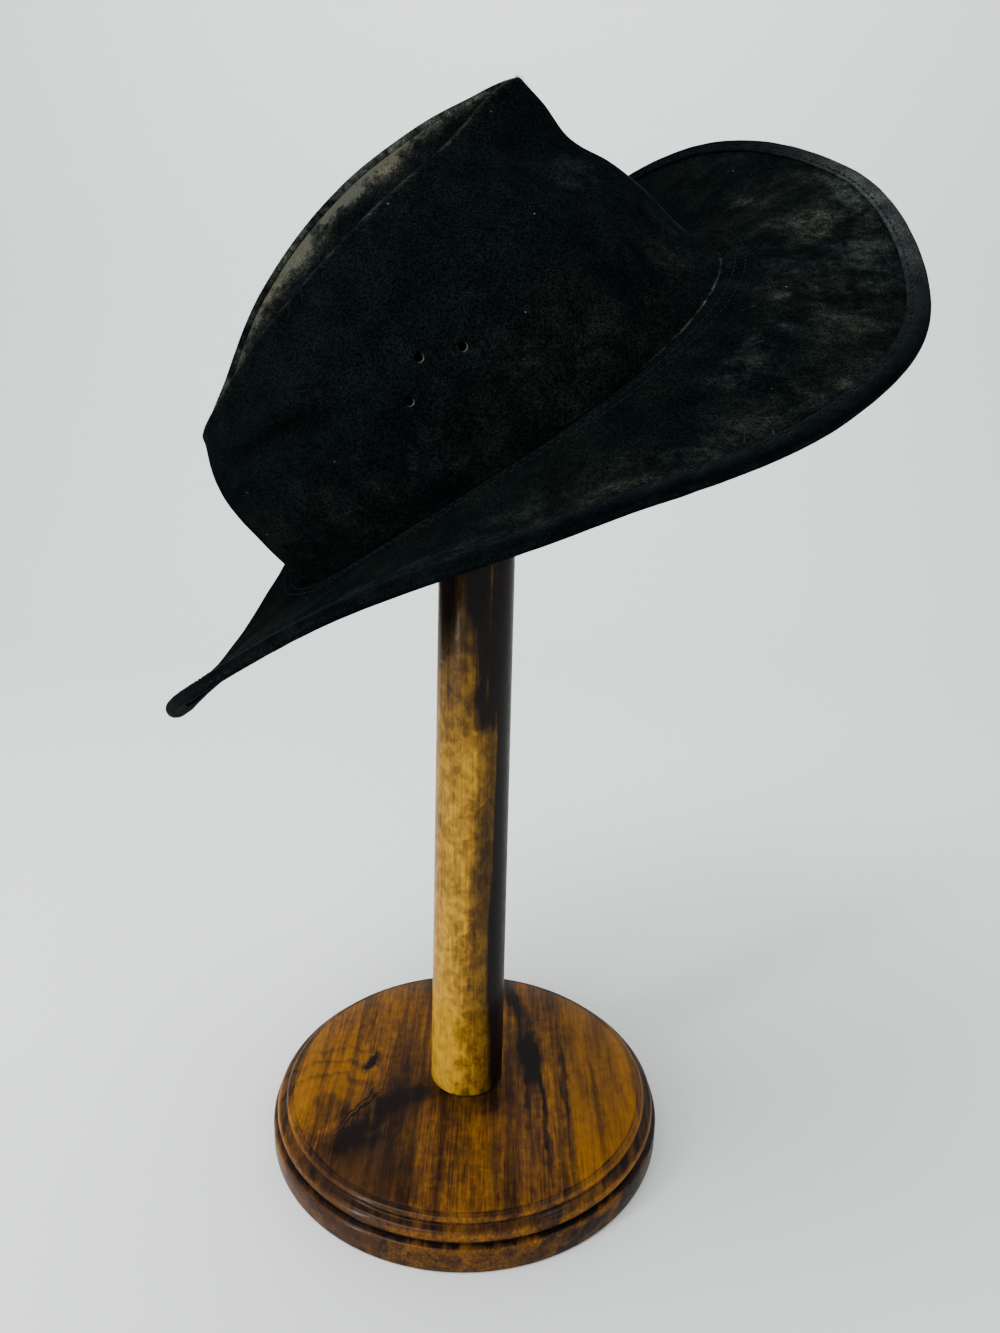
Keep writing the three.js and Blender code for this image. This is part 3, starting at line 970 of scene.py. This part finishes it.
def ridge_root(side, low, high):
    """A root on a side panel's ridge, between two shares of the way from the front to the back."""
    share = chance.uniform(low, high)
    height = 1 - 0.03 * chance.random() ** 2
    v = math.acos(1 - 2 * height) / math.pi if height < 1 else 1
    root = panel_point(side, share, v)
    away = (root - Vector((root.x * 0.8, 0, root.z - 12))).normalized()
    return root, away


def rim_root(low, high):
    """A root on the lower half of the rim, between two places round the hat in degrees."""
    angle = math.radians(chance.uniform(low, high))
    v = 0.5 + chance.uniform(-0.02, 0.14)
    root = binding_point((angle / math.pi + 1) / 2, v)
    _, out, up = brim_frame(angle, brim_width(angle) - 0.5)
    return root, out - up * 0.6


nap_row("nap_far_ridge", 1500, lambda: ridge_root(1, 0.02, 0.98), 0.5, 1.3)
nap_row("nap_near_ridge", 500, lambda: ridge_root(-1, 0.02, 0.98), 0.4, 0.9)
nap_row("nap_tip", 70, lambda: ridge_root(chance.choice((-1, 1)), 0.0, 0.05), 1.0, 2.6)
nap_row("nap_rim", 500, lambda: rim_root(-178, -60), 0.3, 0.8)
nap_row("nap_frayed_rim", 260, lambda: rim_root(-142, -122), 0.6, 1.6)

# Three loose hairs cling to the brim; each runs through places in degrees and shares of the way out
HAIR_R = 0.07
HAIR_STEPS = 8
for number, marks in enumerate((
    ((-71, 0.875), (-68.5, 0.78), (-66.2, 0.765), (-66.2, 0.82), (-68, 0.91)),
    ((-44, 0.21), (-43, 0.245), (-41.5, 0.27)),
    ((-54, 0.385), (-52.5, 0.40), (-51, 0.425)),
)):
    path = []
    for i in range((len(marks) - 1) * HAIR_STEPS + 1):
        degrees, share = (smooth_value(values, i / HAIR_STEPS) for values in zip(*marks))
        angle = math.radians(degrees)
        outward = share * brim_width(angle)
        up = brim_frame(angle, outward)[2]
        path.append(brim_surface(angle, outward) + up * (brim_relief(angle, outward) + HAIR_R))
    bm = bmesh.new()
    for a, b in zip(path, path[1:]):
        add_cone(bm, (a + b) / 2, b - a, HAIR_R, HAIR_R, (b - a).length, 5)
    on_hat_piece(f"loose_hair_{number + 1}", bm, fibre)


# Stand base
# A disc of turned hardwood under a satin varnish, with the post fixed in its middle. From the ground
# up it has a plain foot, a groove, a torus, a cove and a bead, under a flat top; painted shade darkens
# the groove and the cove. Its grain runs away from the camera.
BASE_R = 89
BASE_H = 20.2
BASE_TOP_R = 79.8


def turned_piece(name, profile, steps):
    """Spins a profile of radius and height, in millimetres, into a closed body."""
    bm = bmesh.new()
    verts = [bm.verts.new((radius * MM, 0, height * MM)) for radius, height in profile]
    edges = [bm.edges.new(pair) for pair in zip(verts, verts[1:])]
    bmesh.ops.spin(
        bm, geom=verts + edges, cent=(0, 0, 0), axis=(0, 0, 1), angle=math.tau, steps=steps,
        use_merge=True,
    )
    bmesh.ops.remove_doubles(bm, verts=bm.verts, dist=1e-6)
    bmesh.ops.recalc_face_normals(bm, faces=bm.faces)
    return new_object(name, bm)


def arc(centre, radius, start, end, steps):
    """Points of an arc in the profile, by angle in degrees."""
    points = []
    for i in range(steps + 1):
        turn = math.radians(start + (end - start) * i / steps)
        points.append((centre[0] + radius * math.cos(turn), centre[1] + radius * math.sin(turn)))
    return points


def wood_group():
    """Grain along Z of the given vector: golden and brown bands, dark streaks, fine fibres and curls."""
    tree, inside, outside = new_group("wood_grain", {
        "Vector": "Vector", "Light": "Color", "Middle": "Color", "Dark": "Color",
        "Gold": "Float", "StainAndShade": "Float", "Curl": "Float", "Streaks": "Float", "Fine": "Float",
    })

    def stretched_noise(scale, *noise_values):
        stretched = new_node(tree, "Mapping", {"Vector": inside["Vector"], "Scale": scale})
        return noise_at(stretched.outputs["Vector"], 1.0, *noise_values)

    broad = stretched_noise((30, 30, 4), 3, 0.5, 1.0)
    streaks = stretched_noise((120, 120, 5), 5, 0.6, 0.6)
    fibres = stretched_noise((1000, 1000, 50), 3, 0.7)
    curls = stretched_noise((240, 240, 200), 4, 0.55, 0.5)
    # Golden where the bands, the fine fibres and the curly figure say so
    flecks = product(remapped(curls, 0.36, 0.66, -0.55, 0.6), inside["Curl"])
    fine = product(remapped(fibres, 0.32, 0.68, -0.32, 0.28), inside["Fine"])
    texture = total(flecks, fine)
    gold = total(remapped(broad, 0.38, 0.62, 0.1, 0.75), inside["Gold"], texture)
    color = blended(tree, gold, inside["Middle"], inside["Light"])
    # Dark streaks, then the stains of heartwood together with painted shade
    lines = product(remapped(streaks, 0.5, 0.66, 0.0, 0.65), inside["Streaks"])
    color = blended(tree, lines, color, inside["Dark"])
    mottled = product(inside["StainAndShade"], remapped(streaks, 0.35, 0.6, 0.6, 1.2))
    color = blended(tree, mottled, color, inside["Dark"])
    # Curls and pores modulate the tone
    color = blended(tree, 1.0, color, total(texture, 1.0), "MULTIPLY")
    set_inputs(outside, {
        "Color": color,
        "Roughness": remapped(curls, 0.3, 0.7, 0.32, 0.5),
        "Normal": bumped(streaks, 0.25, 0.0008, Normal=bumped(fibres, 0.25, 0.0003)),
    })
    return tree


WOOD_GRAIN = wood_group()
WOOD_DARK = (0.007, 0.004, 0.0035, 1)


class WoodMaterial:
    """Wood in a satin varnish, with places that are more golden, and places darkened by stains and by
    painted shade.
    """

    def __init__(self, name, grain_turn=(0, 0, 0), coat=0.0, **values):
        self.material, self.tree, self.shader = new_material(name)
        self.place = object_place(self.tree)
        self.ragged = self.place
        values["Vector"] = self.node("Mapping", {"Vector": self.place, "Rotation": grain_turn})
        self.grain = new_node(self.tree, "Group", values, node_tree=WOOD_GRAIN)
        grain = self.grain.outputs
        set_inputs(self.shader, {
            "Base Color": grain["Color"], "Roughness": grain["Roughness"], "Normal": grain["Normal"],
            "Specular IOR Level": 0.03, "Coat Weight": coat, "Coat Roughness": 0.15,
        })
        self.sums = {"Gold": 0, "StainAndShade": 0}

    def node(self, kind, values, **settings):
        """Adds a node and gives its first output."""
        return new_node(self.tree, kind, values, **settings).outputs[0]

    def make_ragged(self, amount, scale):
        """Pushes the places of the ovals about by noise, which gives them ragged edges."""
        stretched = self.node("Mapping", {"Vector": self.place, "Scale": scale})
        values = {"Vector": stretched, "Scale": 1.0, "Detail": 4, "Roughness": 0.65}
        pushes = new_node(self.tree, "TexNoise", values).outputs["Color"]
        centred = self.node("VectorMath", {0: pushes, 1: (0.5, 0.5, 0.5)}, operation="SUBTRACT")
        values = {0: centred, 1: amount, 2: self.place}
        self.ragged = self.node("VectorMath", values, operation="MULTIPLY_ADD")

    def add(self, socket, mask, strength):
        """Adds a mask to the grain's Gold or Stain."""
        values = {0: mask, 1: strength, 2: self.sums[socket]}
        self.sums[socket] = self.node("Math", values, operation="MULTIPLY_ADD")
        set_inputs(self.grain, {socket: self.sums[socket]})

    def oval(self, at, half, turn, soft):
        """A mask that is 1 inside an oval, by its centre, half sizes and turn in mm and degrees."""
        local = self.node("Mapping", {
            "Vector": self.ragged, "Location": [v * MM for v in at], "Scale": [v * MM for v in half],
            "Rotation": (0, 0, math.radians(turn)),
        }, vector_type="TEXTURE")
        far = new_node(self.tree, "VectorMath", {0: local}, operation="LENGTH").outputs["Value"]
        return remapped(far, 1 + soft, 1 - soft, 0, 1)

    def add_ovals(self, socket, ovals):
        """Each row gives an oval's centre, half sizes, turn and softness, and how strong it is."""
        for *shape, strength in ovals:
            self.add(socket, self.oval(*shape), strength)


base_profile = [(0, 0), (BASE_R - 1.6, 0)]
base_profile += arc((BASE_R - 1.2, 1.2), 1.2, -70, 0, 3)
base_profile += arc((BASE_R - 1.4, 9.2), 1.4, 0, 80, 4)
base_profile += [(BASE_R - 3.2, 10.8), (BASE_R - 3.7, 11.1), (BASE_R - 3.3, 11.5)]
base_profile += arc((BASE_R - 4.3, 14.0), 2.5, -62, 80, 10)
base_profile += [(BASE_R - 5.6, 16.6), (BASE_R - 6.1, 17.0)]
base_profile += arc((BASE_R - 7.5, 18.0), 1.6, -25, 85, 6)
base_profile += [(BASE_TOP_R + 0.9, BASE_H - 0.7), (BASE_TOP_R + 0.3, BASE_H - 0.4)]
base_profile += [(BASE_TOP_R - 0.4, BASE_H)]
base_profile += [(BASE_TOP_R * share, BASE_H) for share in (0.8, 0.6, 0.4, 0.2, 0)]
base = turned_piece("stand_base_wood", base_profile, 220)
base_wood = WoodMaterial(
    "base_wood", (math.radians(90), 0, 0),
    Light=(0.212, 0.081, 0.0045, 1), Middle=(0.062, 0.025, 0.008, 1), Dark=WOOD_DARK,
    Curl=0.28, Streaks=1.0, Fine=0.9,
)
base_wood.make_ragged((0.012, 0.020, 0.0), (90, 34, 90))
# Golden places on the right and the left of the top, and browner ones towards the camera
base_wood.add_ovals("Gold", (
    ((-1, -62, 20), (21, 48, 40), 0, 0.12, -0.05),
    ((64, 4, 20), (26, 80, 40), 0, 0.3, 0.95),
    ((-62, -4, 20), (20, 26, 40), 0, 0.5, 0.95),
    ((-36, 42, 20), (36, 30, 40), 0, 0.5, 0.5),
    ((-40, -66, 20), (18, 26, 40), 20, 0.4, -0.5),
))
# Knot and heartwood stains on the top, and painted shade down the right side of the moulding and the foot
base_wood.add_ovals("StainAndShade", (
    ((-24, -15, 20), (15, 8, 9), 20, 0.55, 0.66),
    ((-40, -31, 20), (14, 11, 9), 40, 0.55, 0.7),
    ((-47, -46, 20), (12, 8, 9), 40, 0.55, 0.65),
    ((-53, -20, 20), (6, 11, 9), 10, 0.6, 0.2),
    ((-46, -26, 20), (0.6, 17, 9), -30, 0.4, 1.0),
    ((-48.6, -25, 20), (0.5, 14, 9), -30, 0.4, 0.9),
    ((-38, -38, 20), (1.6, 9, 9), -50, 0.6, -0.4),
    ((-46, 6, 20), (3.2, 5.5, 9), -15, 0.4, 0.9),
    ((27.5, 30, 20), (4.6, 42, 9), 9, 0.4, 0.85),
    ((30, 12, 20), (6.5, 15, 9), 8, 0.4, 0.8),
    ((36.8, -34, 20), (1.7, 32, 9), 1.5, 0.4, 1.0),
    ((28, -14, 20), (1.2, 16, 9), 0, 0.5, 0.8),
    ((46, -4, 20), (1.8, 46, 9), 1, 0.5, 0.75),
    ((52, 20, 20), (2.6, 34, 9), 3, 0.6, 0.6),
    ((59, -22, 20), (1.6, 38, 9), 0, 0.6, 0.5),
    ((69, 6, 20), (2.2, 36, 9), -2, 0.6, 0.4),
    ((12, -19, 20), (13, 9, 9), 20, 0.6, 0.5),
    ((0, 0, 20), (24, 22, 9), 0, 0.35, 0.3),
    ((-36, -58, 20), (22, 12, 9), -30, 0.6, 0.3),
    ((24, 66, 20), (40, 14, 9), 0, 0.6, 0.4),
    # Painted shade: darkens the right side of the moulding and the foot
    ((86, -22, 8), (34, 62, 9), -15, 0.5, 0.45),
))
# Growth rings curve round the knot on the left
rings_at = base_wood.node("Mapping", {"Vector": base_wood.ragged, "Location": (0.060, 0.024, 0)})
rings = new_node(base_wood.tree, "TexWave", {
    "Vector": rings_at, "Scale": 38, "Distortion": 2.5, "Detail": 2, "Detail Scale": 1.2,
}, wave_type="RINGS", rings_direction="SPHERICAL").outputs["Fac"]
around = base_wood.oval((-58, -6, 20), (26, 30, 40), 0, 0.35)
base_wood.add("StainAndShade", product(remapped(rings, 0.55, 0.95, 0, 1), around), 0.4)
# Darker along the foot, and painted shade in the groove, the cove and the thin line round the top's edge,
# by height in mm
GROOVE_SHADE_BY_HEIGHT = (
    (0, 0.8), (1.2, 0.67), (8.5, 0.67), (10.3, 0.4), (10.8, 1.3), (11.4, 1.3), (11.9, 0.35), (13.0, 0.1),
    (15.2, 0.05), (16.1, 0.7), (17.2, 0.95), (17.9, 0.5), (18.5, 0.1), (19.3, 0.2), (19.75, 0.85),
    (20.1, 0.1),
)
heights = new_node(base_wood.tree, "SeparateXYZ", {0: base_wood.place}).outputs["Z"]
level = product(heights, 1 / (BASE_H * MM))
groove = new_node(base_wood.tree, "ValToRGB", {"Fac": level})
stops = groove.color_ramp.elements
while len(stops) < len(GROOVE_SHADE_BY_HEIGHT):
    stops.new(0.5)
for stop, (height, dark) in zip(stops, GROOVE_SHADE_BY_HEIGHT):
    stop.position = height / BASE_H
    stop.color = (dark, dark, dark, 1)
# The ramp's painted shade goes into the same input as the stains
base_wood.add("StainAndShade", groove.outputs["Color"], 0.9)
# The varnish is rubbed dull on the top and still glossy on the moulding
set_inputs(base_wood.shader, {"Coat Weight": remapped(level, 0.985, 0.96, 0.0, 0.12)})
base.data.materials.append(base_wood.material)
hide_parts("stand_base")
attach(base, "root")


# Stand post
# A straight round post of the same hardwood, which tapers a little and is rounded where it meets the
# base. It is pale and curly on the left. Its top is dark from stain and the hat's painted shadow, and its
# right side from dark streaks and painted shade.
POST_R_FOOT = 16.6
POST_R_TOP = 15.4
POST_STEPS = 20
HEAD_R = 45
HEAD_Z = 349
HEAD_FLAT = 36
post_foot = BASE_H + PIECE_GAP
post_top = HEAD_Z - HEAD_FLAT - PIECE_GAP
post_profile = [(0, post_foot), (POST_R_FOOT - 1.8, post_foot)]
post_profile += arc((POST_R_FOOT - 1.6, post_foot + 1.6), 1.6, -80, 0, 5)
for i in range(1, POST_STEPS + 1):
    share = i / POST_STEPS
    radius = POST_R_FOOT + (POST_R_TOP - POST_R_FOOT) * share
    post_profile.append((radius, post_foot + (post_top - post_foot) * share))
post_profile.append((0, post_top))
post = turned_piece("stand_post_wood", post_profile, 96)
post_wood = WoodMaterial(
    "post_wood", coat=0.15,
    Light=(0.40, 0.205, 0.012, 1), Middle=(0.12, 0.052, 0.006, 1), Dark=WOOD_DARK,
    Curl=0.42, Streaks=0.4, Fine=0.5,
)
post_wood.make_ragged((0.008, 0.008, 0.05), (150, 150, 14))
post_wood.add_ovals("Gold", (
    ((-16, -8, 110), (17, 30, 100), 0, 0.3, 0.45),
    ((-4, -16, 40), (12, 14, 34), 0, 0.4, 0.3),
    ((2, -16, 176), (4, 8, 14), 0, 0.4, 0.4),
))
# Dark top: stain and the hat's painted shadow; dark right side: streaks of the wood and painted shade;
# then a reddish band at the front and a darker patch at the back
post_wood.add_ovals("StainAndShade", (
    ((6, -4, 292), (34, 34, 84), 0, 0.25, 0.95),
    ((21, -6, 120), (15.5, 32, 150), 0, 0.5, 1.35),
    ((1, -16, 204), (9, 9, 9), 0, 0.5, 0.35),
    ((12, 14, 150), (14, 12, 160), 0, 0.5, 0.4),
))
post.data.materials.append(post_wood.material)
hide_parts("stand_post")
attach(post, "root")


# Stand head
# A plain turned ball with a flat underside, fixed on top of the post. Its near-black colour is painted
# shade: through the vents it shows as the dark inside of the crown. It carries the hat from inside the
# crown.
flat_turn = math.degrees(math.asin(HEAD_FLAT / HEAD_R))
head_profile = [(0, HEAD_Z - HEAD_FLAT)] + arc((0, HEAD_Z), HEAD_R, -flat_turn, 90, 40)
head = turned_piece("stand_head_wood", head_profile, 96)
head_wood = WoodMaterial(
    "head_wood",
    Light=(0.010, 0.007, 0.004, 1), Middle=(0.006, 0.004, 0.003, 1), Dark=(0.002, 0.0015, 0.001, 1),
    Curl=0.4, Streaks=1.0, Fine=1.0,
)
head.data.materials.append(head_wood.material)
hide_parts("stand_head")
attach(head, "root")
